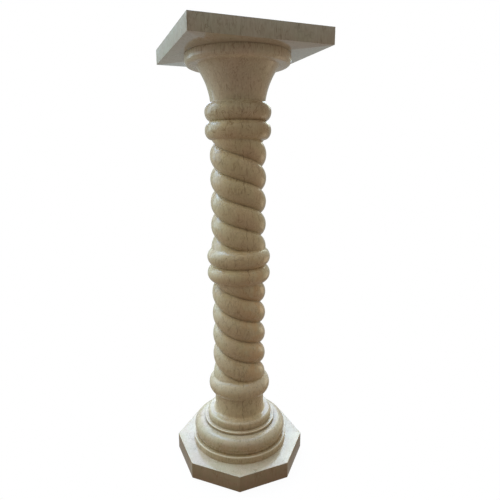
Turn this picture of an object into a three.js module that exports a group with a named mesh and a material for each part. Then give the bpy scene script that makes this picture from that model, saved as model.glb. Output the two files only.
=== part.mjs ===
// Twisted pedestal column in polished cream marble: octagonal plinth, round moulded base,
// carved shaft with its bell capital, and a square slab on top.
// Millimetres, +Z up. The origin is the middle of the plinth's underside, and the slab's sides
// face along X and Y. The pieces stand on each other, face on face, on one vertical axis.

import * as THREE from 'three';

// Slab and plinth
const SLAB_SIDE = 300;
const SLAB_THICKNESS = 33;
const PLINTH_ACROSS_FLATS = 297;
const PLINTH_HEIGHT = 40;
const PLINTH_TURN = THREE.MathUtils.degToRad(2); // as set by hand: not quite square to the slab
const ARRIS = 1; // chamfer that takes the sharpness off a sawn edge

// Round base, from the plinth up: deep fillet, small listel, torus, thin fillet
const FOOT_FILLET_RADIUS = 118.3;
const FOOT_FILLET_HEIGHT = 17;
const LISTEL_RADIUS = 108; // upright face between the deep fillet and the torus
const BASE_TORUS_RADIUS = 115;
const BASE_TORUS_BEND = 18;
const BASE_TORUS_CREST = 37.5; // height of the widest line above the plinth
const THIN_FILLET_RADIUS = 88.3;
const THIN_FILLET_HEIGHT = 6.5;

// Foot of the shaft: band with a rounded shoulder, small cove and plain neck
const BAND_RADIUS = 80.3;
const BAND_HEIGHT = 19;
const SHOULDER = 8.3;
const COVE = 5.7;
const NECK_RADIUS = 61.2;
const NECK_HEIGHT = 43.3;

// Torus at the foot of the twist, and the paired tori of the two collars
// Each is an arc of an upright ellipse; the reach is how far it turns to either side of its crest
const FOOT_TORUS_RADIUS = 76;
const FOOT_TORUS_HEIGHT = 45;
const FOOT_TORUS_REACH = THREE.MathUtils.degToRad(68);
const COLLAR_RADIUS = 75;
const COLLAR_GROOVE_RADIUS = 62.5;
const COLLAR_TORUS_HEIGHT = 40;
const MIDDLE_COLLAR_REACH = THREE.MathUtils.degToRad(64);
const UPPER_COLLAR_REACH = THREE.MathUtils.degToRad(76); // fuller than the middle collar

// Two-strand, left-handed twist, cut in two runs
const STRANDS = 2;
const STRAND_RADIUS = 64.5;
const GROOVE_DEPTH = 12.8;
const LEAD = 106.3; // height of one full turn
const LOWER_RUN = 245;
const UPPER_RUN = 249;
const LOWER_GROOVE_Z = 690.7; // where each run's groove, carried on, crosses the front line (-Y)
const UPPER_GROOVE_Z = 696.4;

// Bell capital: hollow bell, then a roll under the slab
const BELL_ARC = 152;
const BELL_WAIST_RADIUS = 60.6; // where the bell's arc would run upright
const BELL_WAIST_DROP = 16.5; // how far that is below the bell's foot
const BELL_HEIGHT = 75;
const ROLL_HEIGHT = 23;
const ROLL_RADIUS = 117;
const ROLL_UNDER_RADIUS = 108;
const ROLL_TOP_RADIUS = 112;
const ROLL_CREST = 11; // height of the widest line above the roll's underside

// Fineness of the facets
const SHAFT_SIDES = 32;
const BASE_SIDES = 36;
const STRAND_STEPS_PER_TURN = 15;
const TORUS_STEPS = 8;
const BELL_STEPS = 6;
const QUARTER_STEPS = 4;
const SMALL_STEPS = 3;

// Heights that follow from the stack
const LISTEL_Z = PLINTH_HEIGHT + FOOT_FILLET_HEIGHT;
const BASE_TORUS_Z = PLINTH_HEIGHT + BASE_TORUS_CREST;
const THIN_FILLET_Z = BASE_TORUS_Z + BASE_TORUS_BEND;
const SHAFT_Z = THIN_FILLET_Z + THIN_FILLET_HEIGHT;
const LEDGE_Z = SHAFT_Z + BAND_HEIGHT;
const FOOT_TORUS_Z = LEDGE_Z + COVE + NECK_HEIGHT;
const LOWER_BOTTOM = FOOT_TORUS_Z + FOOT_TORUS_HEIGHT;
const LOWER_TOP = LOWER_BOTTOM + LOWER_RUN;
const UPPER_BOTTOM = LOWER_TOP + 2 * COLLAR_TORUS_HEIGHT;
const UPPER_TOP = UPPER_BOTTOM + UPPER_RUN;
const BELL_Z = UPPER_TOP + 2 * COLLAR_TORUS_HEIGHT;
const ROLL_Z = BELL_Z + BELL_HEIGHT;
const SLAB_Z = ROLL_Z + ROLL_HEIGHT;

// Points [radius, height] along an arc of an upright ellipse, angles counted from outwards to up
function arc(centreRadius, centreZ, reachOut, reachUp, from, to, steps) {
  const points = [];
  for (let i = 0; i <= steps; i += 1) {
    const angle = from + ((to - from) * i) / steps;
    points.push([
      centreRadius + reachOut * Math.cos(angle),
      centreZ + reachUp * Math.sin(angle),
    ]);
  }
  return points;
}

// Round moulding that swells from its foot radius at both ends to its crest in the middle
function torusProfile(bottom, height, footRadius, crestRadius, reach) {
  const half = height / 2;
  const reachUp = half / Math.sin(reach);
  const reachOut = (crestRadius - footRadius) / (1 - Math.cos(reach));
  return arc(crestRadius - reachOut, bottom + half, reachOut, reachUp, -reach, reach, TORUS_STEPS);
}

// Two equal tori, one on the other, sharing the groove between them
function collarProfile(bottom, reach) {
  const height = COLLAR_TORUS_HEIGHT;
  const lower = torusProfile(bottom, height, COLLAR_GROOVE_RADIUS, COLLAR_RADIUS, reach);
  const upper = lower.map(([radius, z]) => [radius, z + height]);
  return [...lower, ...upper.slice(1)];
}

function footProfile() {
  const shoulderRadius = BAND_RADIUS - SHOULDER;
  const coveRadius = NECK_RADIUS + COVE;
  const quarter = Math.PI / 2;
  return [
    [BAND_RADIUS, SHAFT_Z],
    ...arc(shoulderRadius, LEDGE_Z - SHOULDER, SHOULDER, SHOULDER, 0, quarter, SMALL_STEPS),
    ...arc(coveRadius, LEDGE_Z + COVE, COVE, COVE, -quarter, -2 * quarter, SMALL_STEPS),
    ...torusProfile(
      FOOT_TORUS_Z, FOOT_TORUS_HEIGHT, NECK_RADIUS, FOOT_TORUS_RADIUS, FOOT_TORUS_REACH,
    ),
  ];
}

function capitalProfile() {
  const waistZ = BELL_Z - BELL_WAIST_DROP;
  const bell = [];
  for (let i = 1; i <= BELL_STEPS; i += 1) {
    const z = BELL_Z + (BELL_HEIGHT * i) / BELL_STEPS;
    const spread = BELL_ARC - Math.sqrt(BELL_ARC ** 2 - (z - waistZ) ** 2);
    bell.push([BELL_WAIST_RADIUS + spread, z]);
  }
  const crestZ = ROLL_Z + ROLL_CREST;
  const underReach = ROLL_RADIUS - ROLL_UNDER_RADIUS;
  const topReach = ROLL_RADIUS - ROLL_TOP_RADIUS;
  const topHeight = ROLL_HEIGHT - ROLL_CREST;
  return [
    ...bell,
    ...arc(ROLL_UNDER_RADIUS, crestZ, underReach, ROLL_CREST, -Math.PI / 2, 0, QUARTER_STEPS),
    ...arc(ROLL_TOP_RADIUS, crestZ, topReach, topHeight, 0, Math.PI / 2, QUARTER_STEPS).slice(1),
  ];
}

// Angle of the groove at a height; a left-handed twist turns backwards as it climbs
function grooveAngle(grooveZ, z) {
  return ((grooveZ - z) / LEAD) * 2 * Math.PI;
}

// Strand surface: a round back between sharp grooves, seen as heights above the nearest groove
function strandRadius(angle, z) {
  const grooveZ = z < (LOWER_TOP + UPPER_BOTTOM) / 2 ? LOWER_GROOVE_Z : UPPER_GROOVE_Z;
  const spacing = LEAD / STRANDS;
  const half = spacing / 2;
  const above = z - grooveZ + (angle / (2 * Math.PI)) * LEAD;
  const offCrest = above - Math.floor(above / spacing) * spacing - half;
  const bend = (half * half + GROOVE_DEPTH * GROOVE_DEPTH) / (2 * GROOVE_DEPTH);
  return STRAND_RADIUS - bend + Math.sqrt(bend * bend - offCrest * offCrest);
}

// Turn of a ring's first corner, so that the mesh follows the grooves up both runs
function ringTurn(z) {
  const { clamp, lerp } = THREE.MathUtils;
  const lower = grooveAngle(LOWER_GROOVE_Z, clamp(z, LOWER_BOTTOM, LOWER_TOP));
  const upper = grooveAngle(UPPER_GROOVE_Z, clamp(z, UPPER_BOTTOM, UPPER_TOP));
  return lerp(lower, upper, clamp((z - LOWER_TOP) / (UPPER_BOTTOM - LOWER_TOP), 0, 1));
}

// Evenly spaced heights of one run of the twist, both ends included; null stands for carved rings
function twistProfile(bottom, run) {
  const count = Math.round((run / LEAD) * STRAND_STEPS_PER_TURN);
  return Array.from({ length: count + 1 }, (_, i) => [null, bottom + (run * i) / count]);
}

// Closed body through rings of corners round the Z axis, listed from the bottom up
function stackRings(profile, sides) {
  const positions = [];
  const index = [];
  for (const [turnedRadius, z] of profile) {
    const turn = ringTurn(z);
    for (let i = 0; i < sides; i += 1) {
      const angle = turn + (2 * Math.PI * i) / sides;
      const radius = turnedRadius ?? strandRadius(angle, z);
      positions.push(radius * Math.sin(angle), -radius * Math.cos(angle), z);
    }
  }
  const rings = profile.length;
  const bottomCentre = rings * sides;
  const topCentre = bottomCentre + 1;
  positions.push(0, 0, profile[0][1], 0, 0, profile[rings - 1][1]);
  for (let i = 0; i < sides; i += 1) {
    const next = (i + 1) % sides;
    const top = (rings - 1) * sides;
    index.push(bottomCentre, next, i, topCentre, top + i, top + next);
    for (let low = 0; low < top; low += sides) {
      const high = low + sides;
      index.push(low + i, low + next, high + next, low + i, high + next, high + i);
    }
  }
  const geometry = new THREE.BufferGeometry();
  geometry.setAttribute('position', new THREE.Float32BufferAttribute(positions, 3));
  geometry.setIndex(index);
  geometry.computeVertexNormals();
  return geometry;
}

// Flat stone of a given outline with chamfered arrises, its underside at z = 0
function sawnStone(outline, thickness) {
  const geometry = new THREE.ExtrudeGeometry(new THREE.Shape(outline), {
    depth: thickness - 2 * ARRIS,
    bevelEnabled: true,
    bevelSegments: 1,
    bevelSize: ARRIS,
    bevelThickness: ARRIS,
    bevelOffset: -ARRIS,
  });
  return geometry.translate(0, 0, ARRIS);
}

function polygonOutline(corners, acrossFlats) {
  const reach = acrossFlats / 2 / Math.cos(Math.PI / corners);
  return Array.from({ length: corners }, (_, i) => {
    const angle = ((i + 0.5) / corners) * 2 * Math.PI;
    return new THREE.Vector2(reach * Math.cos(angle), reach * Math.sin(angle));
  });
}

function marble(color, roughness) {
  return new THREE.MeshStandardMaterial({ color, roughness, metalness: 0 });
}

function makePlinth() {
  const outline = polygonOutline(8, PLINTH_ACROSS_FLATS);
  const mesh = new THREE.Mesh(sawnStone(outline, PLINTH_HEIGHT), marble(0xcfc1a6, 0.28));
  mesh.rotation.z = PLINTH_TURN;
  mesh.name = 'plinth';
  return mesh;
}

function makeBase() {
  const bend = BASE_TORUS_BEND;
  const torusCentre = BASE_TORUS_RADIUS - bend;
  const torusStart = -Math.acos((LISTEL_RADIUS - torusCentre) / bend);
  const profile = [
    [0, PLINTH_HEIGHT],
    [FOOT_FILLET_RADIUS, PLINTH_HEIGHT],
    [FOOT_FILLET_RADIUS, LISTEL_Z - ARRIS],
    [FOOT_FILLET_RADIUS - ARRIS, LISTEL_Z],
    [LISTEL_RADIUS, LISTEL_Z],
    ...arc(torusCentre, BASE_TORUS_Z, bend, bend, torusStart, Math.PI / 2, TORUS_STEPS),
    [THIN_FILLET_RADIUS, THIN_FILLET_Z],
    [THIN_FILLET_RADIUS, SHAFT_Z - ARRIS],
    [THIN_FILLET_RADIUS - ARRIS, SHAFT_Z],
    [0, SHAFT_Z],
  ];
  const points = profile.map(([radius, z]) => new THREE.Vector2(radius, z));
  const geometry = new THREE.LatheGeometry(points, BASE_SIDES).rotateX(Math.PI / 2);
  const mesh = new THREE.Mesh(geometry, marble(0xd6c8ad, 0.25));
  mesh.name = 'base';
  return mesh;
}

function makeShaft() {
  const profile = [
    ...footProfile().slice(0, -1),
    ...twistProfile(LOWER_BOTTOM, LOWER_RUN),
    ...collarProfile(LOWER_TOP, MIDDLE_COLLAR_REACH).slice(1, -1),
    ...twistProfile(UPPER_BOTTOM, UPPER_RUN),
    ...collarProfile(UPPER_TOP, UPPER_COLLAR_REACH).slice(1),
    ...capitalProfile(),
  ];
  const mesh = new THREE.Mesh(stackRings(profile, SHAFT_SIDES), marble(0xd4c5a8, 0.25));
  mesh.name = 'shaft';
  return mesh;
}

function makeSlab() {
  const outline = polygonOutline(4, SLAB_SIDE);
  const mesh = new THREE.Mesh(sawnStone(outline, SLAB_THICKNESS), marble(0xcabfa8, 0.28));
  mesh.position.z = SLAB_Z;
  mesh.name = 'top_slab';
  return mesh;
}

const column = new THREE.Group();
column.name = 'marble_column';
column.add(makePlinth(), makeBase(), makeShaft(), makeSlab());

export default column;
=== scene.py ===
import math

import bpy
import numpy as np
from mathutils import Matrix, Vector


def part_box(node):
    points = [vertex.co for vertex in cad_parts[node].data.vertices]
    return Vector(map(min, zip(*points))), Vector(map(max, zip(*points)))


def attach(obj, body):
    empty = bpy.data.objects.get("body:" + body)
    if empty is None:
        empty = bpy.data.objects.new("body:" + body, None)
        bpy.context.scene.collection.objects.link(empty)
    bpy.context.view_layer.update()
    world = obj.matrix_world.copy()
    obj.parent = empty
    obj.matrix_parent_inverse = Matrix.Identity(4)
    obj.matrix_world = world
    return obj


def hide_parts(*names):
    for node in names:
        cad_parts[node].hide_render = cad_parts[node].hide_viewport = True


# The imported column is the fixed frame: its heights and outer sizes are read from the nodes.
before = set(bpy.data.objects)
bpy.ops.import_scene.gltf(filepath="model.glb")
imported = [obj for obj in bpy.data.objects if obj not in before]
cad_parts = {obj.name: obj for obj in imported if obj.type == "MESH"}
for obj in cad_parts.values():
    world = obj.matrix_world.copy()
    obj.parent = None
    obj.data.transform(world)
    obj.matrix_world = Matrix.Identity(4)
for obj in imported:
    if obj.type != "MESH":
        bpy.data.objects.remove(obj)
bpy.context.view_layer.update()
MM = 0.001

PLINTH_LOW, PLINTH_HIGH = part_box("plinth")
BASE_LOW, BASE_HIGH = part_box("base")
SHAFT_LOW, SHAFT_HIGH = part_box("shaft")
SLAB_LOW, SLAB_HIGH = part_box("top_slab")

# Slab and plinth
SLAB_CORNERS = 4
SLAB_SIDE = SLAB_HIGH.x - SLAB_LOW.x
PLINTH_CORNERS = 8
PLINTH_ACROSS_FLATS = 297 * MM
PLINTH_TURN = math.radians(2)
SLAB_ARRIS = 0.5 * MM
PLINTH_ARRIS = 0.7 * MM
CORNER_RADIUS = 1.0 * MM

# Round base, from the plinth up: deep fillet, small listel, torus, thin fillet
FOOT_FILLET_RADIUS = BASE_HIGH.x
FOOT_FILLET_HEIGHT = 17 * MM
LISTEL_RADIUS = 110 * MM
BASE_TORUS_RADIUS = 115 * MM
BASE_TORUS_BEND = 18 * MM
BASE_TORUS_CREST = 37.5 * MM
THIN_FILLET_RADIUS = 88.3 * MM
FILLET_ARRIS = 1.0 * MM
BED_ARRIS = 0.8 * MM

# Foot of the shaft: band with a rounded shoulder, small cove and plain neck
BAND_RADIUS = 80.3 * MM
BAND_HEIGHT = 19 * MM
SHOULDER = 6 * MM
COVE = 5.7 * MM
NECK_RADIUS = 61.2 * MM
NECK_HEIGHT = 43.3 * MM

# Torus at the foot of the twist, and the paired tori of the two collars
FOOT_TORUS_RADIUS = 76 * MM
FOOT_TORUS_HEIGHT = 45 * MM
FOOT_TORUS_REACH = math.radians(68)
COLLAR_RADIUS = 75 * MM
COLLAR_GROOVE_RADIUS = 62.5 * MM
COLLAR_TORUS_HEIGHT = 40 * MM
MIDDLE_COLLAR_REACH = math.radians(64)
UPPER_COLLAR_REACH = math.radians(76)

# Two-strand, left-handed twist, cut in two runs
STRANDS = 2
STRAND_RADIUS = 64.5 * MM
GROOVE_DEPTH = 12.8 * MM
STRAND_REACH = math.radians(62)
GROOVE_SOFTNESS = 0.7 * MM
JOINT_SOFTNESS = 1.2 * MM
LEAD = 106.3 * MM
LOWER_RUN = 245 * MM
UPPER_RUN = 249 * MM
LOWER_GROOVE_Z = 690.7 * MM
UPPER_GROOVE_Z = 696.4 * MM
RUN_IN = 6 * MM  # how far each of two forms is carried on past the joint between them

# Bell capital: hollow bell, then a roll under the slab
BELL_ARC = 152 * MM
BELL_WAIST_RADIUS = 60.6 * MM
BELL_WAIST_DROP = 16.5 * MM
BELL_HEIGHT = 75 * MM
ROLL_RADIUS = 117 * MM
ROLL_UNDER_RADIUS = 108 * MM
ROLL_TOP_RADIUS = 115.5 * MM
ROLL_CREST = 11 * MM

# Fineness of the meshes
BASE_COLUMNS = 192
COLUMNS_PER_STRAND = 72
ARRIS_STEPS = 4
TORUS_STEPS = 26
QUARTER_STEPS = 12
JOINT_STEPS = 12
BELL_STEPS = 28
RUN_STEPS = 150
OUTLINE_STEP = 4 * MM
COLUMN_CROWDING = 0.7  # how far columns draw together near the grooves, from 0 to 1
HEIGHT_CROWDING = 0.75  # how far rings draw together at the ends of a run, from 0 to 1
SHARP_ANGLE = math.radians(40)  # edges that turn by more are shaded sharp

# Heights that follow from the stack
LISTEL_Z = PLINTH_HIGH.z + FOOT_FILLET_HEIGHT
BASE_TORUS_Z = PLINTH_HIGH.z + BASE_TORUS_CREST
THIN_FILLET_Z = BASE_TORUS_Z + BASE_TORUS_BEND
LEDGE_Z = SHAFT_LOW.z + BAND_HEIGHT
FOOT_TORUS_Z = LEDGE_Z + COVE + NECK_HEIGHT
LOWER_BOTTOM = FOOT_TORUS_Z + FOOT_TORUS_HEIGHT
LOWER_TOP = LOWER_BOTTOM + LOWER_RUN
UPPER_BOTTOM = LOWER_TOP + 2 * COLLAR_TORUS_HEIGHT
UPPER_TOP = UPPER_BOTTOM + UPPER_RUN
BELL_Z = UPPER_TOP + 2 * COLLAR_TORUS_HEIGHT
ROLL_Z = BELL_Z + BELL_HEIGHT

# Round mouldings: bottom, height, end radius, crest radius, turn to either side of the crest
COLLAR_TORUS = (COLLAR_TORUS_HEIGHT, COLLAR_GROOVE_RADIUS, COLLAR_RADIUS)
FOOT_TORUS = (FOOT_TORUS_Z, FOOT_TORUS_HEIGHT, NECK_RADIUS, FOOT_TORUS_RADIUS, FOOT_TORUS_REACH)
MIDDLE_LOW = (LOWER_TOP, *COLLAR_TORUS, MIDDLE_COLLAR_REACH)
MIDDLE_HIGH = (LOWER_TOP + COLLAR_TORUS_HEIGHT, *COLLAR_TORUS, MIDDLE_COLLAR_REACH)
UPPER_LOW = (UPPER_TOP, *COLLAR_TORUS, UPPER_COLLAR_REACH)
UPPER_HIGH = (UPPER_TOP + COLLAR_TORUS_HEIGHT, *COLLAR_TORUS, UPPER_COLLAR_REACH)

# Camera, fitted to the corners of the slab and plinth in the photograph
IMAGE_SIDE = 500  # pixels
FOCAL_LENGTH = 428.3  # pixels
MIDDLE_LEFT_BY = 12.35  # pixels by which the lens axis is left of the picture's middle
CAMERA_DISTANCE = 1002.5 * MM
CAMERA_HEIGHT = 750.4 * MM
CAMERA_AZIMUTH = math.radians(-20.5)
CAMERA_PAN = math.radians(-0.13)
CAMERA_PITCH = math.radians(12.2)
CAMERA_ROLL = math.radians(-0.34)
SENSOR = 36.0

# Fixed directions round the column, named after the side of the photograph that they belong to
PHOTO_RIGHT = (math.cos(CAMERA_AZIMUTH), math.sin(CAMERA_AZIMUTH), 0)
PHOTO_LEFT = [-part for part in PHOTO_RIGHT]
PHOTO_FRONT = (math.sin(CAMERA_AZIMUTH), -math.cos(CAMERA_AZIMUTH), 0)
PHOTO_BACK = [-part for part in PHOTO_FRONT]
UP = (0, 0, 1)
DOWN = (0, 0, -1)

# Colours of the marble, and of the painted light and shade laid on it
OLIVE_CREAM = (0.655, 0.575, 0.40, 1)
ROSE_CREAM = (0.68, 0.56, 0.40, 1)
PALE_CREAM = (0.74, 0.645, 0.475, 1)
GRAIN_BROWN = (0.36, 0.26, 0.165, 1)
VEIN_BROWN = (0.20, 0.135, 0.085, 1)
SCRIBBLE_BROWN = (0.30, 0.19, 0.10, 1)
# Brown of the collar's stain and of the painted shade on undersides
STAIN_AND_SHADE_BROWN = (0.40, 0.29, 0.17, 1)
WARM_TINGE = (0.62, 0.40, 0.22, 1)
# Brown of the painted shade in crevices, grooves and at the band's foot
CREVICE_SHADE_BROWN = (0.24, 0.19, 0.125, 1)
# Browns of the painted shade on the plinth's upright faces
ROSE_SHADE = (0.285, 0.205, 0.14, 1)
OLIVE_SHADE = (0.225, 0.195, 0.118, 1)
# Brown of the painted shade on the plinth's far flanks
FLANK_SHADE_BROWN = (0.19, 0.13, 0.07, 1)
# Pale cream of the painted highlights along the base's edges
HIGHLIGHT_CREAM = (0.98, 0.90, 0.72, 1)
# Tints that darken the plinth and base as a whole: painted shade
PLINTH_SHADE_TINT = (0.87, 0.82, 0.81, 1)
BASE_SHADE_TINT = (0.861, 0.81, 0.768, 1)
SHAFT_TINT = (1, 0.985, 0.97, 1)
# Painted light: cooler, paler tints for the capital and the roll
CAPITAL_LIGHT_TINT = (1.02, 1.08, 1.22, 1)
ROLL_LIGHT_TINT = (1.12, 1.20, 1.38, 1)
# Painted light on the slab: cool shade on the sides and underside, a warmer top against the bright light
# there
SLAB_SIDE_SHADE_TINT = (0.74, 0.845, 1.05, 1)
SLAB_UNDER_SHADE_TINT = (0.69, 0.72, 0.80, 1)
SLAB_TOP_LIGHT_TINT = (0.87, 0.80, 0.78, 1)

# How strongly a marking, painted shade or painted highlight covers the cream, from 0 to 1
FINE_GRAIN_STRENGTH = 0.2
SPECK_STRENGTH = 0.45
VEIN_STRENGTH = 0.55
WARM_TINGE_STRENGTH = 0.55
COLLAR_STAIN_AND_SHADE_STRENGTH = 0.5
UNDERSIDE_SHADE_STRENGTH = 0.22
SHAFT_SHADE_STRENGTH = 0.4
CREVICE_SHADE_STRENGTH = 0.5
EDGE_HIGHLIGHT_STRENGTH = 0.8
SIDE_SHADE_STRENGTH = 0.78
FLANK_SHADE_STRENGTH = 0.7

# Where each stone's block lies in the pattern of cream and veins, so that no two stones are alike
PLINTH_BLOCK = (0.31, 0.12, 0.2)
BASE_BLOCK = (0.77, 0.4, 0.9)
SHAFT_BLOCK = (0, 0, 0)
SLAB_BLOCK = (1.3, 0.63, 0.4)

# Where markings lie: each pair is where a change starts and where it is complete
WARM_TINGE_HEIGHTS = (560 * MM, 440 * MM)
WARM_TINGE_SIDES = (-20 * MM, 45 * MM)
COLLAR_STAIN_AND_SHADE_SIDES = (20 * MM, 60 * MM)
# Painted cool light greys the shaft between these heights
GREY_HEIGHTS = (780 * MM, 930 * MM)
FLANK_SIDES = (112 * MM, 126 * MM)
# Painted shade on the plinth's sides deepens between these heights towards the floor
FLOOR_SHADE_HEIGHTS = (36 * MM, 0)
# Painted shade in the twist's grooves fades out between these heights
GROOVE_SHADE_HEIGHTS = (1 * MM, 3 * MM)  # over the bottom of a groove
FADE = 20 * MM  # usual length of a change
RING_CORE = 0.2  # share of a circle's reach that is covered fully

# Unevenness: how far cracks stray, and how far the polished surface is from true
CRACK_BEND = 20 * MM
SWELL_HEIGHT = 2 * MM
SWELL_STRENGTH = 0.12

# Circles of painted highlight along edges that catch the light, and of painted shade in crevices: radius,
# height, reach
BASE_EDGE_HIGHLIGHTS = (
    (FOOT_FILLET_RADIUS, LISTEL_Z, 4 * MM),
    (THIN_FILLET_RADIUS, BASE_HIGH.z, 2.5 * MM),
)
BASE_CREVICE_SHADES = (
    (LISTEL_RADIUS, LISTEL_Z + 2 * MM, 3 * MM),
    (THIN_FILLET_RADIUS, THIN_FILLET_Z, 5 * MM),
)
# Painted shade where the band stands on the base
BAND_FOOT_SHADE = (BAND_RADIUS, SHAFT_LOW.z, 11 * MM)

# Long vein: (height in metres, sideways place as a share of VEIN_REACH)
VEIN_REACH = 40 * MM
VEIN_WANDER = 18 * MM
VEIN_HALF_WIDTHS = (0.3 * MM, 1.4 * MM)  # full up to the first, gone at the second
VEIN_FAINT = 0.35  # strength where it shows least, as a share
VEIN_PATH = (
    (0.1, 0.0),
    (0.2, 0.0),
    (0.33, 0.15),
    (0.46, 0.35),
    (0.58, 0.25),
    (0.7, 0.1),
    (0.82, 0.0),
    (1.0, 0.0),
)

# Floor: white, with a trace of the lamps' light that ends between two distances from the axis
FLOOR_SIDE = 16.0
FLOOR_COLOUR = (0.9, 0.9, 0.9, 1)
FLOOR_ROUGHNESS = 0.9
FLOOR_TRACE = 0.04
FLOOR_TRACE_ENDS = (0.15, 0.22)
WHITE = (1, 1, 1, 1)

# Light of the room from each side
ROOM_LIGHT = (
    (PHOTO_RIGHT, (0.408, 0.354, 0.252)),
    (PHOTO_LEFT, (0.470, 0.440, 0.337)),
    (PHOTO_FRONT, (0.107, 0.083, 0.079)),
    (PHOTO_BACK, (0.439, 0.487, 0.481)),
    (UP, (0.760, 0.727, 0.600)),
    (DOWN, (0.371, 0.265, 0.205)),
)

# Soft lamps: name, azimuth, elevation, width, height, watts of red, green and blue, distance
LAMP_AIM_Z = 0.5  # middle of the column
LAMP_NEAR = 1.2
LAMP_MIDWAY = 2.4
LAMP_FAR = 4.8
LAMPS = (
    ("left_window", -92, 28, 1.4, 1.6, (7.2, 9.8, 11.2), LAMP_MIDWAY),
    ("left_front", -60, 45, 1.4, 1.4, (2.9, 2.2, 0.2), LAMP_MIDWAY),
    ("left_low", -112, -12, 0.5, 0.6, (0.25, 0.3, 0.25), LAMP_NEAR),
    ("left_pane", -116, 20, 0.6, 1.4, (4.1, 5.7, 6.8), LAMP_MIDWAY),
    ("right_low", 118, -14, 0.5, 0.5, (0.95, 0.8, 0.54), LAMP_NEAR),
    ("back_window", 180, 38, 1.6, 1.8, (23.2, 28.7, 41.3), LAMP_MIDWAY),
    ("back_left", -125, 55, 1.4, 1.4, (16.0, 23.8, 33.5), LAMP_MIDWAY),
    ("back_right", 150, 33, 0.9, 1.2, (6.6, 7.2, 6.1), LAMP_MIDWAY),
    ("back_pane", 162, 32, 0.7, 1.0, (3.0, 4.0, 3.8), LAMP_MIDWAY),
    ("overhead", 180, 80, 3.2, 3.2, (36, 98, 178), LAMP_FAR),
)

QUARTER = math.pi / 2
FULL_TURN = 2 * math.pi


# Meshes

def arc(centre_radius, centre_z, reach_out, reach_up, start, end, steps):
    """Points (radius, height) along an arc of an upright ellipse, angles from outwards to up."""
    angles = np.linspace(start, end, steps + 1)
    return [(centre_radius + reach_out * math.cos(a), centre_z + reach_up * math.sin(a)) for a in angles]


def round_edge(radius, z, reach, start):
    """Quarter round that softens the corner of a profile at a radius and height."""
    centre_z = z - reach if start == 0 else z + reach
    return arc(radius - reach, centre_z, reach, reach, start, start + QUARTER, ARRIS_STEPS)


def ring_mesh(name, rings):
    """Closed mesh through rings of points, listed from the bottom up and all of one length."""
    rings = np.asarray(rings, float)
    levels, columns, _ = rings.shape
    points = np.concatenate([rings.reshape(-1, 3), [rings[0].mean(0), rings[-1].mean(0)]])
    here = np.arange(columns)
    after = (here + 1) % columns
    low = (np.arange(levels - 1) * columns)[:, None]
    high = low + columns
    quads = np.stack([low + here, low + after, high + after, high + here], -1).reshape(-1, 4)
    last = (levels - 1) * columns
    underside = np.stack([np.full(columns, len(points) - 2), after, here], -1)
    top = np.stack([np.full(columns, len(points) - 1), last + here, last + after], -1)
    mesh = bpy.data.meshes.new(name)
    mesh.from_pydata(points.tolist(), [], quads.tolist() + underside.tolist() + top.tolist())
    mesh.shade_smooth()
    mesh.set_sharp_from_angle(angle=SHARP_ANGLE)
    piece = bpy.data.objects.new(name, mesh)
    bpy.context.scene.collection.objects.link(piece)
    return piece


def ring(radius, angles, z):
    """Points round the Z axis at one height; angles count from the front (-Y) to the right."""
    return np.column_stack([radius * np.sin(angles), -radius * np.cos(angles), np.full(len(angles), z)])


def turned_rings(profile, columns):
    """Rings of a body turned on the Z axis from a profile of (radius, height)."""
    angles = np.arange(columns) * FULL_TURN / columns
    return [ring(radius, angles, z) for radius, z in profile]


def rounded_polygon(corners, across_flats, turn):
    """Outline of a regular polygon, one side facing -Y before the turn, with small round corners."""
    half_corner = math.pi / corners
    reach = (across_flats / 2 - CORNER_RADIUS) / math.cos(half_corner)
    side = 2 * reach * math.sin(half_corner)
    side_points = round(side / OUTLINE_STEP)
    points = []
    for corner in range(corners):
        start = corner * 2 * half_corner + turn
        end = start + 2 * half_corner
        centre = start + half_corner
        middle = reach * np.array([math.sin(centre), -math.cos(centre)])
        for angle in np.linspace(start, end, ARRIS_STEPS + 1):
            points.append(middle + CORNER_RADIUS * np.array([math.sin(angle), -math.cos(angle)]))
        onward = np.array([math.cos(end), math.sin(end)])
        for _ in range(1, side_points):
            points.append(points[-1] + onward * side / side_points)
    return np.array(points)


def sawn_rings(corners, across_flats, turn, low, high, arris):
    """Rings of a flat sawn stone: an outline drawn in along a quarter round at both arrises."""
    outline = rounded_polygon(corners, across_flats, turn)
    levels = []
    for angle in np.linspace(0, QUARTER, ARRIS_STEPS + 1):
        levels.append((arris * (1 - math.sin(angle)), low + arris * (1 - math.cos(angle))))
    for angle in np.linspace(0, QUARTER, ARRIS_STEPS + 1):
        levels.append((arris * (1 - math.cos(angle)), high - arris * (1 - math.sin(angle))))
    rings = []
    for inset, z in levels:
        drawn_in = outline * (1 - 2 * inset / across_flats)
        rings.append(np.column_stack([drawn_in, np.full(len(outline), z)]))
    return rings


def torus_arc(height, foot_radius, crest_radius, reach):
    """How far the ellipse of a round moulding reaches out and up."""
    return (crest_radius - foot_radius) / (1 - math.cos(reach)), height / 2 / math.sin(reach)


def torus_radius(z, bottom, height, foot_radius, crest_radius, reach):
    """Radius at height z of a round moulding carried on past its ends, or 0 clear of it."""
    reach_out, reach_up = torus_arc(height, foot_radius, crest_radius, reach)
    share = (z - bottom - height / 2) / reach_up
    return crest_radius - reach_out + reach_out * math.sqrt(1 - share**2) if abs(share) < 1 else 0.0


def torus_profile(bottom, height, foot_radius, crest_radius, reach):
    """Points (radius, height) round a moulding, foot to foot."""
    reach_out, reach_up = torus_arc(height, foot_radius, crest_radius, reach)
    middle = bottom + height / 2
    return arc(crest_radius - reach_out, middle, reach_out, reach_up, -reach, reach, TORUS_STEPS)


def smooth_max(first, second):
    """The larger of two radii, with a small fillet where they cross."""
    return (first + second + np.hypot(first - second, JOINT_SOFTNESS)) / 2


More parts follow.
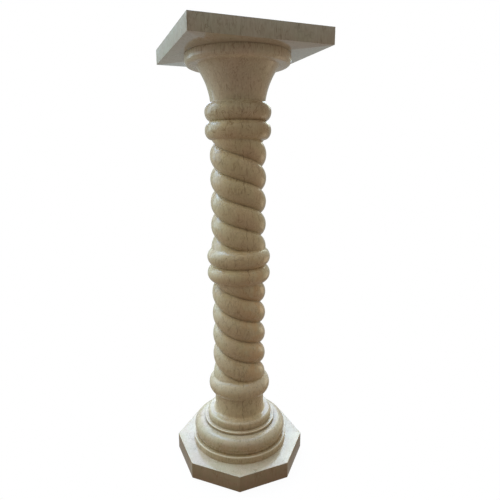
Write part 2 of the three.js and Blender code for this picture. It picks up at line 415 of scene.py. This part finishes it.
def joint_profile(joint, radius_below, radius_above):
    """Points (radius, height) where one turned form meets the next, filleted."""
    heights = np.linspace(joint - RUN_IN, joint + RUN_IN, JOINT_STEPS + 1)
    return [(smooth_max(radius_below(z), radius_above(z)), z) for z in heights]


def collar_profile(lower, upper):
    """Two tori, one on the other, sharing the groove between them."""
    joint = upper[0]
    below = [p for p in torus_profile(*lower) if p[1] < joint - RUN_IN]
    above = [p for p in torus_profile(*upper) if p[1] > joint + RUN_IN]
    groove = joint_profile(joint, lambda z: torus_radius(z, *lower), lambda z: torus_radius(z, *upper))
    return below + groove + above


def foot_profile():
    """Band with its shoulder, cove, neck and the torus at the foot of the twist."""
    band_low = round_edge(BAND_RADIUS, SHAFT_LOW.z, BED_ARRIS, -QUARTER)
    bend_radius, bend_z = BAND_RADIUS - SHOULDER, LEDGE_Z - SHOULDER
    shoulder = arc(bend_radius, bend_z, SHOULDER, SHOULDER, 0, QUARTER, QUARTER_STEPS)
    cove = arc(NECK_RADIUS + COVE, LEDGE_Z + COVE, COVE, COVE, -QUARTER, -2 * QUARTER, QUARTER_STEPS)
    return band_low + shoulder + cove + torus_profile(*FOOT_TORUS)


def bell_radius(z):
    """Radius of the hollow bell at height z."""
    rise = z - BELL_Z + BELL_WAIST_DROP
    return BELL_WAIST_RADIUS + BELL_ARC - math.sqrt(BELL_ARC**2 - rise**2)


def capital_profile():
    """Bell, flat underside of the roll, and the roll."""
    foot = joint_profile(BELL_Z, lambda z: torus_radius(z, *UPPER_HIGH), bell_radius)
    bell = [(bell_radius(z), z) for z in np.linspace(BELL_Z + RUN_IN, ROLL_Z, BELL_STEPS + 1)]
    crest_z = ROLL_Z + ROLL_CREST
    top_height = SHAFT_HIGH.z - crest_z
    under_reach = ROLL_RADIUS - ROLL_UNDER_RADIUS
    top_reach = ROLL_RADIUS - ROLL_TOP_RADIUS
    under = arc(ROLL_UNDER_RADIUS, crest_z, under_reach, ROLL_CREST, -QUARTER, 0, QUARTER_STEPS)
    top = arc(ROLL_TOP_RADIUS, crest_z, top_reach, top_height, 0, QUARTER, QUARTER_STEPS)
    return foot + bell[1:] + under + top[1:]


def groove_angle(groove_z, z):
    """Angle of the groove at a height; a left-handed twist turns backwards as it climbs."""
    return (groove_z - z) / LEAD * FULL_TURN


def ring_turn(z):
    """Turn of a ring's first point, so that the mesh follows the grooves up both runs."""
    lower_end, upper_start = LOWER_TOP + RUN_IN, UPPER_BOTTOM - RUN_IN
    lower = groove_angle(LOWER_GROOVE_Z, np.clip(z, LOWER_BOTTOM - RUN_IN, lower_end))
    upper = groove_angle(UPPER_GROOVE_Z, np.clip(z, upper_start, UPPER_TOP + RUN_IN))
    return lower + (upper - lower) * np.clip((z - lower_end) / (upper_start - lower_end), 0, 1)


def strand_radius(height_over_groove):
    """Strand surface: a round back between grooves whose bottoms are a little softened."""
    spacing = LEAD / STRANDS
    half = spacing / 2
    from_groove = half - np.abs(np.mod(height_over_groove, spacing) - half)
    off_crest = half - np.hypot(from_groove, GROOVE_SOFTNESS)
    reach_out, reach_up = torus_arc(spacing, STRAND_RADIUS - GROOVE_DEPTH, STRAND_RADIUS, STRAND_REACH)
    return STRAND_RADIUS - reach_out + reach_out * np.sqrt(1 - (off_crest / reach_up) ** 2)


def crowded(share, crowding):
    """Shares from 0 to 1, drawn together near both ends."""
    return share - crowding * np.sin(FULL_TURN * share) / FULL_TURN


def strand_columns():
    """Angles round one ring from a groove, closer together near the grooves."""
    share = crowded(np.arange(COLUMNS_PER_STRAND) / COLUMNS_PER_STRAND, COLUMN_CROWDING)
    return np.concatenate([strand + share for strand in range(STRANDS)]) * FULL_TURN / STRANDS


def run_heights(bottom, top):
    """Heights of one run of the twist, closer together where it meets its tori."""
    share = crowded(np.linspace(0, 1, RUN_STEPS + 1), HEIGHT_CROWDING)
    return bottom - RUN_IN + (top - bottom + 2 * RUN_IN) * share


def run_rings(bottom, top, torus_below, torus_above):
    """Rings of one run: the strands, and the ends of the tori that they grow out of."""
    rings = []
    for z in run_heights(bottom, top):
        from_groove = strand_columns()
        angles = ring_turn(z) + from_groove
        turned = max(torus_radius(z, *torus_below), torus_radius(z, *torus_above))
        radius = smooth_max(turned, strand_radius(from_groove / FULL_TURN * LEAD))
        rings.append(ring(radius, angles, z))
    return rings


def plain_rings(profile):
    """Rings of the shaft's turned parts, in step with the columns of the twist."""
    rings = []
    for radius, z in profile:
        rings.append(ring(radius, ring_turn(z) + strand_columns(), z))
    return rings


def make_shaft():
    """Shaft from its band to the roll, in one mesh."""
    middle = collar_profile(MIDDLE_LOW, MIDDLE_HIGH)
    upper = collar_profile(UPPER_LOW, UPPER_HIGH)
    below = [p for p in foot_profile() if p[1] < LOWER_BOTTOM - RUN_IN]
    between = [p for p in middle if LOWER_TOP + RUN_IN < p[1] < UPPER_BOTTOM - RUN_IN]
    above = [p for p in upper if UPPER_TOP + RUN_IN < p[1] < BELL_Z - RUN_IN]
    rings = (
        plain_rings(below)
        + run_rings(LOWER_BOTTOM, LOWER_TOP, FOOT_TORUS, MIDDLE_LOW)
        + plain_rings(between)
        + run_rings(UPPER_BOTTOM, UPPER_TOP, MIDDLE_HIGH, UPPER_LOW)
        + plain_rings(above + capital_profile())
    )
    return ring_mesh("shaft_carved", rings)


def make_base():
    """Turned base: deep fillet, listel, torus and thin fillet."""
    foot_low = round_edge(FOOT_FILLET_RADIUS, BASE_LOW.z, BED_ARRIS, -QUARTER)
    foot_top = round_edge(FOOT_FILLET_RADIUS, LISTEL_Z, FILLET_ARRIS, 0)
    thin_top = round_edge(THIN_FILLET_RADIUS, BASE_HIGH.z, FILLET_ARRIS, 0)
    bend = BASE_TORUS_BEND
    centre = BASE_TORUS_RADIUS - bend
    start = -math.acos((LISTEL_RADIUS - centre) / bend)
    torus = arc(centre, BASE_TORUS_Z, bend, bend, start, QUARTER, TORUS_STEPS)
    listel = [(LISTEL_RADIUS, LISTEL_Z)]
    thin = [(THIN_FILLET_RADIUS, THIN_FILLET_Z)]
    profile = foot_low + foot_top + listel + torus + thin + thin_top
    return ring_mesh("base_turned", turned_rings(profile, BASE_COLUMNS))


def make_plinth():
    """Octagonal plinth."""
    outline = (PLINTH_CORNERS, PLINTH_ACROSS_FLATS, PLINTH_TURN)
    return ring_mesh("plinth_sawn", sawn_rings(*outline, PLINTH_LOW.z, PLINTH_HIGH.z, PLINTH_ARRIS))


def make_slab():
    """Square top slab."""
    outline = (SLAB_CORNERS, SLAB_SIDE, 0)
    return ring_mesh("slab_sawn", sawn_rings(*outline, SLAB_LOW.z, SLAB_HIGH.z, SLAB_ARRIS))


# Marble

def add_node(tree, kind, inputs, **settings):
    """New node; each input takes a constant or another node's output."""
    node = tree.nodes.new(kind)
    for name, value in settings.items():
        setattr(node, name, value)
    for name, value in inputs.items():
        if isinstance(value, bpy.types.NodeSocket):
            tree.links.new(value, node.inputs[name])
        else:
            node.inputs[name].default_value = value
    return node


def stretched(tree, vector, scale, shift=(0, 0, 0)):
    """Coordinates scaled along each axis, then shifted."""
    inputs = {"Vector": vector, "Scale": scale, "Location": shift}
    return add_node(tree, "ShaderNodeMapping", inputs).outputs[0]


def cloud(tree, vector, scale, detail=2.0, distortion=0.0):
    """Soft noise about one half; the scale is in cells per metre."""
    inputs = {"Vector": vector, "Scale": scale, "Detail": detail, "Distortion": distortion}
    return add_node(tree, "ShaderNodeTexNoise", inputs).outputs["Fac"]


def ramp(tree, value, start, end, low=0.0, high=1.0):
    """Smooth change from low to high while a value goes from start to end."""
    inputs = {"Value": value, "From Min": start, "From Max": end, "To Min": low, "To Max": high}
    return add_node(tree, "ShaderNodeMapRange", inputs, interpolation_type="SMOOTHSTEP").outputs[0]


def maths(tree, operation, first, second=0.0):
    """One step of arithmetic."""
    return add_node(tree, "ShaderNodeMath", {0: first, 1: second}, operation=operation).outputs[0]


def product(tree, first, *others):
    """Two or more values multiplied."""
    for other in others:
        first = maths(tree, "MULTIPLY", first, other)
    return first


def along(tree, vector, direction):
    """Distance along a direction."""
    inputs = {0: vector, 1: direction}
    return add_node(tree, "ShaderNodeVectorMath", inputs, operation="DOT_PRODUCT").outputs["Value"]


def length(tree, vector):
    """Length of a vector."""
    return add_node(tree, "ShaderNodeVectorMath", {0: vector}, operation="LENGTH").outputs["Value"]


def height_of(tree, place):
    """Height above the floor."""
    return along(tree, place, UP)


def from_axis(tree, place):
    """Distance from the column's axis."""
    return length(tree, stretched(tree, place, (1, 1, 0)))


def looking(tree, direction):
    """How squarely a face looks in a direction: 1 straight along it, -1 straight against it."""
    normal = add_node(tree, "ShaderNodeNewGeometry", {}).outputs["Normal"]
    return along(tree, normal, direction)


def blend(tree, factor, first, second):
    """Colour between the first and the second."""
    inputs = {0: factor, 6: first, 7: second}
    return add_node(tree, "ShaderNodeMix", inputs, data_type="RGBA").outputs[2]


def hairline(tree, noise, full, none):
    """Thin line where a noise passes one half, full up to one distance from that, gone at another."""
    ridge = maths(tree, "ABSOLUTE", maths(tree, "SUBTRACT", noise, 0.5))
    return ramp(tree, ridge, full, none, 1.0, 0.0)


def clouded_cream(tree, block):
    """Ground of the marble: olive cream, rosy cream and paler patches."""
    rosy = ramp(tree, cloud(tree, block, scale=17, detail=3.0, distortion=0.4), 0.38, 0.62)
    ground = blend(tree, rosy, OLIVE_CREAM, ROSE_CREAM)
    bedded = stretched(tree, block, (1, 1, 0.5))
    pale = ramp(tree, cloud(tree, bedded, scale=42, detail=3.0, distortion=0.6), 0.5, 0.72, 0.0, 0.6)
    return blend(tree, pale, ground, PALE_CREAM)


def grain(tree, block, closeness):
    """Upright brown strokes, thick in some places and thin in others."""
    bedded = stretched(tree, block, (1, 1, 0.15))
    stroke = hairline(tree, cloud(tree, bedded, scale=closeness, distortion=0.7), 0.0, 0.05)
    density = ramp(tree, cloud(tree, block, scale=45), 0.4, 0.6, 0.2, 1.0)
    return product(tree, stroke, density)


def fine_grain(tree, block):
    """Faint upright lines finer than the strokes."""
    bedded = stretched(tree, block, (1, 1, 0.3))
    return ramp(tree, cloud(tree, bedded, scale=380), 0.3, 0.7)


def crackle(tree, block):
    """Broken hairline cracks that part the stone into cells a few centimetres across."""
    drift = add_node(tree, "ShaderNodeTexNoise", {"Vector": block, "Scale": 60.0, "Detail": 2.0})
    shift = {0: drift.outputs["Color"], 1: (CRACK_BEND, CRACK_BEND, CRACK_BEND)}
    bent = add_node(tree, "ShaderNodeVectorMath", shift, operation="MULTIPLY").outputs[0]
    moved = add_node(tree, "ShaderNodeVectorMath", {0: block, 1: bent}).outputs[0]
    cells = {"Vector": stretched(tree, moved, (1, 1, 0.6)), "Scale": 40.0}
    edge = add_node(tree, "ShaderNodeTexVoronoi", cells, feature="DISTANCE_TO_EDGE").outputs["Distance"]
    line = ramp(tree, edge, 0.0, 0.05, 1.0, 0.0)
    kept = ramp(tree, cloud(tree, block, scale=26, detail=1.0), 0.48, 0.6)
    return product(tree, line, kept)


def scribbles(tree, block):
    """Looping brown hairlines, close together in some places."""
    line = hairline(tree, cloud(tree, block, scale=50, detail=1.0, distortion=2.0), 0.008, 0.04)
    kept = ramp(tree, cloud(tree, block, scale=33), 0.4, 0.52)
    return product(tree, line, kept)


def specks(tree, block):
    """Few small dark flecks."""
    cells = add_node(tree, "ShaderNodeTexVoronoi", {"Vector": block, "Scale": 48.0})
    dot = ramp(tree, cells.outputs["Distance"], 0.06, 0.13, 1.0, 0.0)
    chosen = ramp(tree, along(tree, cells.outputs["Color"], (1, 0, 0)), 0.84, 0.86)
    return product(tree, dot, chosen)


def vein_course(tree, place):
    """How far to the right of the axis the long vein runs, at each height."""
    path = add_node(tree, "ShaderNodeFloatCurve", {"Value": height_of(tree, place)})
    curve = path.mapping.curves[0]
    curve.points[0].location = VEIN_PATH[0]
    curve.points[1].location = VEIN_PATH[-1]
    for point in VEIN_PATH[1:-1]:
        curve.points.new(*point)
    path.mapping.update()
    level = stretched(tree, place, (0, 0, 1))
    wander = product(tree, cloud(tree, level, scale=70, detail=4.0), VEIN_WANDER)
    return maths(tree, "ADD", product(tree, path.outputs[0], VEIN_REACH), wander)


def vein_plainness(tree, place):
    """How plainly the long vein shows: on the front alone, and faint on bell and lower twist."""
    height = height_of(tree, place)
    front = ramp(tree, along(tree, place, PHOTO_FRONT), 0.0, FADE)
    under_bell = ramp(tree, height, BELL_Z, BELL_Z - FADE, VEIN_FAINT, 1.0)
    over_foot = ramp(tree, height, LOWER_BOTTOM, LOWER_BOTTOM + FADE)
    under_collar = ramp(tree, height, LOWER_TOP, LOWER_TOP - FADE)
    off_twist = ramp(tree, product(tree, over_foot, under_collar), 0.0, 1.0, 1.0, VEIN_FAINT)
    return product(tree, front, under_bell, off_twist)


def front_vein(tree, place):
    """Long upright vein that wanders down the front of the shaft."""
    right = along(tree, place, PHOTO_RIGHT)
    aside = maths(tree, "ABSOLUTE", maths(tree, "SUBTRACT", right, vein_course(tree, place)))
    line = ramp(tree, aside, *VEIN_HALF_WIDTHS, 1.0, 0.0)
    flattened = stretched(tree, place, (0.3, 0.3, 1))
    kept = ramp(tree, cloud(tree, flattened, scale=42), 0.44, 0.56)
    return product(tree, line, kept, vein_plainness(tree, place))


def warm_tinge(tree, place):
    """Warm orange tinge on the right of the lower twist, in soft patches."""
    height = height_of(tree, place)
    right = ramp(tree, along(tree, place, PHOTO_RIGHT), *WARM_TINGE_SIDES)
    under = ramp(tree, height, *WARM_TINGE_HEIGHTS)
    over_foot = ramp(tree, height, LOWER_BOTTOM - FADE / 2, LOWER_BOTTOM + FADE * 3 / 2)
    patch = ramp(tree, cloud(tree, place, scale=40), 0.4, 0.6)
    return product(tree, right, under, over_foot, patch)


def upper_collar(tree, place):
    """One on the upper collar, nothing above or below it."""
    height = height_of(tree, place)
    over_twist = ramp(tree, height, UPPER_TOP, UPPER_TOP + FADE / 2)
    under_bell = ramp(tree, height, BELL_Z + FADE / 4, BELL_Z - FADE / 4)
    return product(tree, over_twist, under_bell)


def collar_stain_and_shade(tree, place):
    """Brown stain on the right of the upper collar: partly the stone's mottling, partly painted shade on
    that side.
    """
    right = ramp(tree, along(tree, place, PHOTO_RIGHT), *COLLAR_STAIN_AND_SHADE_SIDES)
    patch = ramp(tree, cloud(tree, place, scale=55), 0.3, 0.65, 0.6, 1.0)
    return product(tree, right, upper_collar(tree, place), patch)


def groove_shade(tree, place):
    """Painted shade in the grooves of the twist, which are nearer to the axis than all else on the shaft.
    """
    bottom = STRAND_RADIUS - GROOVE_DEPTH
    full, none = GROOVE_SHADE_HEIGHTS
    return ramp(tree, from_axis(tree, place), bottom + full, bottom + none, 1.0, 0.0)


def near_ring(tree, place, radius, level, reach):
    """One on a circle round the column's axis, fading to nothing at a reach from it."""
    aside = maths(tree, "SUBTRACT", from_axis(tree, place), radius)
    above = maths(tree, "SUBTRACT", height_of(tree, place), level)
    offset = add_node(tree, "ShaderNodeCombineXYZ", {"X": aside, "Y": above}).outputs[0]
    return ramp(tree, length(tree, offset), RING_CORE * reach, reach, 1.0, 0.0)


def upright(tree):
    """One on upright faces and undersides, nothing on faces that look up."""
    return ramp(tree, looking(tree, UP), 0.85, 0.3)


def flat_face(tree, direction):
    """One on faces that look straight in a direction, nothing on the others."""
    return ramp(tree, looking(tree, direction), 0.7, 0.95)


def plinth_side_shade(tree, place):
    """Painted shade on the upright faces of the plinth, deepest along the floor."""
    near_floor = ramp(tree, height_of(tree, place), *FLOOR_SHADE_HEIGHTS, 0.7, 1.0)
    return product(tree, upright(tree), near_floor)


def plinth_flank_shade(tree, place):
    """Painted shade on the upright faces at the plinth's far left and right."""
    aside = maths(tree, "ABSOLUTE", along(tree, place, PHOTO_RIGHT))
    return product(tree, upright(tree), ramp(tree, aside, *FLANK_SIDES))


def underside_shade(tree):
    """Painted shade on the undersides, where polish and light are less."""
    return ramp(tree, looking(tree, UP), 0.05, -0.75)


def polished(tree, colour, block, roughness, under_roughness):
    """Worn polish: uneven gloss over a surface that is not quite true."""
    uneven = ramp(tree, cloud(tree, block, scale=48, detail=3.0), 0.3, 0.7, 0.85, 1.25)
    polish = ramp(tree, flat_face(tree, DOWN), 0.0, 1.0, roughness, under_roughness)
    gloss = product(tree, uneven, polish)
    swell = {"Height": cloud(tree, block, scale=70), "Strength": SWELL_STRENGTH, "Distance": SWELL_HEIGHT}
    bump = add_node(tree, "ShaderNodeBump", swell)
    shader = tree.nodes["Principled BSDF"]
    tree.links.new(colour, shader.inputs["Base Color"])
    tree.links.new(gloss, shader.inputs["Roughness"])
    tree.links.new(bump.outputs[0], shader.inputs["Normal"])


class Marble:
    """Node tree of one stone's marble, whose colour is laid on coat by coat."""

    def __init__(self, name, block_corner):
        self.material = bpy.data.materials.new(name)
        self.material.use_nodes = True
        self.tree = self.material.node_tree
        self.place = add_node(self.tree, "ShaderNodeTexCoord", {}).outputs["Object"]
        self.block = stretched(self.tree, self.place, (1, 1, 1), block_corner)
        self.colour = clouded_cream(self.tree, self.block)

    def lay(self, mask, strength, colour):
        """Cover the colour so far with another, where a mask says."""
        share = product(self.tree, mask, strength)
        self.colour = blend(self.tree, share, self.colour, colour)

    def lay_grain(self, strokes, cracks, closeness):
        """Strokes and hairline cracks; a strength may be a number or a mask."""
        self.lay(fine_grain(self.tree, self.block), FINE_GRAIN_STRENGTH, GRAIN_BROWN)
        self.lay(grain(self.tree, self.block, closeness), strokes, GRAIN_BROWN)
        self.lay(crackle(self.tree, self.block), cracks, VEIN_BROWN)
        self.lay(specks(self.tree, self.block), SPECK_STRENGTH, VEIN_BROWN)

    def shade(self, tint):
        """Multiply the colour so far by a tint."""
        inputs = {0: 1.0, 6: self.colour, 7: tint}
        settings = {"data_type": "RGBA", "blend_type": "MULTIPLY"}
        self.colour = add_node(self.tree, "ShaderNodeMix", inputs, **settings).outputs[2]

    def finish(self, roughness, under_roughness):
        """Polish the stone; flat undersides have their own gloss."""
        polished(self.tree, self.colour, self.block, roughness, under_roughness)
        return self.material


def plinth_marble():
    """Marble of the plinth, with painted shade on its sides."""
    marble = Marble("plinth_marble", PLINTH_BLOCK)
    tree, place = marble.tree, marble.place
    rosy = ramp(tree, cloud(tree, marble.block, scale=60, detail=3.0), 0.4, 0.6)
    # Painted shade on the plinth's upright faces, deepest along the floor
    side_shade_colour = blend(tree, rosy, OLIVE_SHADE, ROSE_SHADE)
    marble.lay(plinth_side_shade(tree, place), SIDE_SHADE_STRENGTH, side_shade_colour)
    # Painted shade on the plinth's far left and right faces
    marble.lay(plinth_flank_shade(tree, place), FLANK_SHADE_STRENGTH, FLANK_SHADE_BROWN)
    strokes = ramp(tree, upright(tree), 0.0, 1.0, 0.35, 0.9)
    marble.lay_grain(strokes, cracks=0.3, closeness=140)
    # Painted shade: the plinth darkened as a whole
    marble.shade(PLINTH_SHADE_TINT)
    return marble.finish(roughness=0.17, under_roughness=0.3)


def base_marble():
    """Marble of the base, with painted shade in its crevices and painted highlights along its edges."""
    marble = Marble("base_marble", BASE_BLOCK)
    tree, place = marble.tree, marble.place
    marble.lay_grain(strokes=0.65, cracks=0.2, closeness=150)
    # Painted shade in the base's crevices
    for circle in BASE_CREVICE_SHADES:
        marble.lay(near_ring(tree, place, *circle), CREVICE_SHADE_STRENGTH, CREVICE_SHADE_BROWN)
    # Painted highlights: pale bands along the base's edges
    for circle in BASE_EDGE_HIGHLIGHTS:
        marble.lay(near_ring(tree, place, *circle), EDGE_HIGHLIGHT_STRENGTH, HIGHLIGHT_CREAM)
    # Painted shade: the base darkened as a whole
    marble.shade(BASE_SHADE_TINT)
    return marble.finish(roughness=0.28, under_roughness=0.3)


def shaft_tint_and_light(tree, place):
    """Tint of the shaft, with painted cool light greying it up to the capital and a painted paler tone on
    the roll.
    """
    height = height_of(tree, place)
    greyer = ramp(tree, height, *GREY_HEIGHTS)
    on_roll = ramp(tree, height, ROLL_Z, ROLL_Z + ROLL_CREST)
    capital = blend(tree, on_roll, CAPITAL_LIGHT_TINT, ROLL_LIGHT_TINT)
    return blend(tree, greyer, SHAFT_TINT, capital)


def shaft_marble():
    """Marble of the shaft, with the long vein, a warm tinge, a stain partly painted as shade, painted
    shade on undersides, in the grooves and at the band's foot, and painted light on the capital and roll.
    """
    marble = Marble("shaft_marble", SHAFT_BLOCK)
    tree, place = marble.tree, marble.place
    height = height_of(tree, place)
    strokes = ramp(tree, height, BELL_Z - FADE, BELL_Z + FADE, 0.5, 0.6)
    cracks = ramp(tree, height, UPPER_TOP - FADE, UPPER_TOP + FADE, 0.33, 0.1)
    marble.lay_grain(strokes, cracks, closeness=130)
    traced = ramp(tree, upper_collar(tree, place), 0.0, 1.0, 0.2, 0.6)
    marble.lay(scribbles(tree, marble.block), traced, SCRIBBLE_BROWN)
    marble.lay(front_vein(tree, place), VEIN_STRENGTH, VEIN_BROWN)
    marble.lay(warm_tinge(tree, place), WARM_TINGE_STRENGTH, WARM_TINGE)
    # Stain on the collar's right, partly painted shade
    marble.lay(collar_stain_and_shade(tree, place), COLLAR_STAIN_AND_SHADE_STRENGTH, STAIN_AND_SHADE_BROWN)
    # Painted shade on the undersides
    marble.lay(underside_shade(tree), UNDERSIDE_SHADE_STRENGTH, STAIN_AND_SHADE_BROWN)
    # Painted shade in the twist's grooves and at the band's foot
    marble.lay(groove_shade(tree, place), SHAFT_SHADE_STRENGTH, CREVICE_SHADE_BROWN)
    marble.lay(near_ring(tree, place, *BAND_FOOT_SHADE), SHAFT_SHADE_STRENGTH, CREVICE_SHADE_BROWN)
    # The tint carries painted cool light on the capital and roll
    marble.shade(shaft_tint_and_light(tree, place))
    return marble.finish(roughness=0.25, under_roughness=0.25)


def slab_marble():
    """Marble of the slab, with painted cool shade on its sides and underside, a painted warmer top
    against the light there, and a glossier underside.
    """
    marble = Marble("slab_marble", SLAB_BLOCK)
    tree = marble.tree
    marble.lay_grain(strokes=0.62, cracks=0.2, closeness=190)
    # Painted shade on the sides and underside, and a painted warmer top
    below = blend(tree, flat_face(tree, DOWN), SLAB_SIDE_SHADE_TINT, SLAB_UNDER_SHADE_TINT)
    marble.shade(blend(tree, flat_face(tree, UP), below, SLAB_TOP_LIGHT_TINT))
    return marble.finish(roughness=0.22, under_roughness=0.04)


# Stage

def make_floor():
    """White floor, with a trace of the lamps' light and the column's shadow close to it."""
    mesh = bpy.data.meshes.new("floor")
    side = FLOOR_SIDE / 2
    corners = [(-side, -side, 0), (side, -side, 0), (side, side, 0), (-side, side, 0)]
    mesh.from_pydata(corners, [], [(0, 1, 2, 3)])
    floor = bpy.data.objects.new("floor", mesh)
    bpy.context.scene.collection.objects.link(floor)
    material = bpy.data.materials.new("pale_floor")
    material.use_nodes = True
    tree = material.node_tree
    lit = tree.nodes["Principled BSDF"]
    lit.inputs["Base Color"].default_value = FLOOR_COLOUR
    lit.inputs["Roughness"].default_value = FLOOR_ROUGHNESS
    white = add_node(tree, "ShaderNodeEmission", {"Color": WHITE, "Strength": 1.0})
    place = add_node(tree, "ShaderNodeTexCoord", {}).outputs["Object"]
    share = ramp(tree, length(tree, place), *FLOOR_TRACE_ENDS, 1 - FLOOR_TRACE, 1.0)
    mixed = add_node(tree, "ShaderNodeMixShader", {0: share, 1: lit.outputs[0], 2: white.outputs[0]})
    tree.links.new(mixed.outputs[0], tree.nodes["Material Output"].inputs["Surface"])
    mesh.materials.append(material)
    floor.visible_diffuse = False
    floor.visible_glossy = False


def softbox(name, azimuth, elevation, width, height, power, distance):
    """Area lamp seen from the column at an azimuth from the camera and an elevation, in degrees."""
    light = bpy.data.lights.new(name, "AREA")
    light.shape = "RECTANGLE"
    light.size = width
    light.size_y = height
    light.energy = max(power)
    light.color = [channel / max(power) for channel in power]
    lamp = bpy.data.objects.new(name, light)
    bpy.context.scene.collection.objects.link(lamp)
    turn = math.radians(azimuth) + CAMERA_AZIMUTH
    rise = math.radians(elevation)
    away = Vector((math.sin(turn) * math.cos(rise), -math.cos(turn) * math.cos(rise), math.sin(rise)))
    lamp.location = Vector((0, 0, LAMP_AIM_Z)) + away * distance
    lamp.rotation_mode = "QUATERNION"
    lamp.rotation_quaternion = away.to_track_quat("Z", "Y")
    lamp.visible_camera = False


def make_lights():
    """Soft lamps all round the column."""
    for lamp in LAMPS:
        softbox(*lamp)


def make_world():
    """Soft light from all round, a colour for each side; the backdrop that the camera sees is white."""
    world = bpy.data.worlds.new("studio")
    bpy.context.scene.world = world
    world.use_nodes = True
    tree = world.node_tree
    direction = add_node(tree, "ShaderNodeTexCoord", {}).outputs["Generated"]
    total = (0, 0, 0)
    for side, colour in ROOM_LIGHT:
        towards = maths(tree, "MAXIMUM", along(tree, direction, side))
        inputs = {0: colour, "Scale": maths(tree, "POWER", towards, 2.0)}
        part = add_node(tree, "ShaderNodeVectorMath", inputs, operation="SCALE").outputs[0]
        total = add_node(tree, "ShaderNodeVectorMath", {0: total, 1: part}).outputs[0]
    room = tree.nodes["Background"]
    tree.links.new(total, room.inputs["Color"])
    backdrop = add_node(tree, "ShaderNodeBackground", {"Color": WHITE, "Strength": 1.0})
    seen = add_node(tree, "ShaderNodeLightPath", {}).outputs["Is Camera Ray"]
    mixed = add_node(tree, "ShaderNodeMixShader", {0: seen, 1: room.outputs[0], 2: backdrop.outputs[0]})
    tree.links.new(mixed.outputs[0], tree.nodes["World Output"].inputs["Surface"])


def make_camera():
    """Camera where the photographer stood, turned from the front line to its azimuth."""
    forward = Vector((
        math.sin(CAMERA_PAN) * math.cos(CAMERA_PITCH),
        math.cos(CAMERA_PAN) * math.cos(CAMERA_PITCH),
        -math.sin(CAMERA_PITCH),
    ))
    level = Vector((math.cos(CAMERA_PAN), -math.sin(CAMERA_PAN), 0))
    over_level = level.cross(forward)
    right = level * math.cos(CAMERA_ROLL) + over_level * math.sin(CAMERA_ROLL)
    up = over_level * math.cos(CAMERA_ROLL) - level * math.sin(CAMERA_ROLL)
    attitude = Matrix((right, up, -forward)).transposed().to_4x4()
    stand = Matrix.Translation((0, -CAMERA_DISTANCE, CAMERA_HEIGHT))
    lens = bpy.data.cameras.new("camera")
    lens.sensor_width = SENSOR
    lens.lens = SENSOR * FOCAL_LENGTH / IMAGE_SIDE
    lens.shift_x = MIDDLE_LEFT_BY / IMAGE_SIDE
    camera = bpy.data.objects.new("camera", lens)
    bpy.context.scene.collection.objects.link(camera)
    camera.matrix_world = Matrix.Rotation(CAMERA_AZIMUTH, 4, "Z") @ stand @ attitude
    bpy.context.scene.camera = camera


def place_piece(piece, node, material):
    """Dress a piece and set it in the place of a solid."""
    piece.data.materials.append(material)
    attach(piece, "root")
    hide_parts(node)


bpy.context.scene.view_settings.view_transform = "Standard"
place_piece(make_plinth(), "plinth", plinth_marble())
place_piece(make_base(), "base", base_marble())
place_piece(make_shaft(), "shaft", shaft_marble())
place_piece(make_slab(), "top_slab", slab_marble())
make_floor()
make_lights()
make_world()
make_camera()
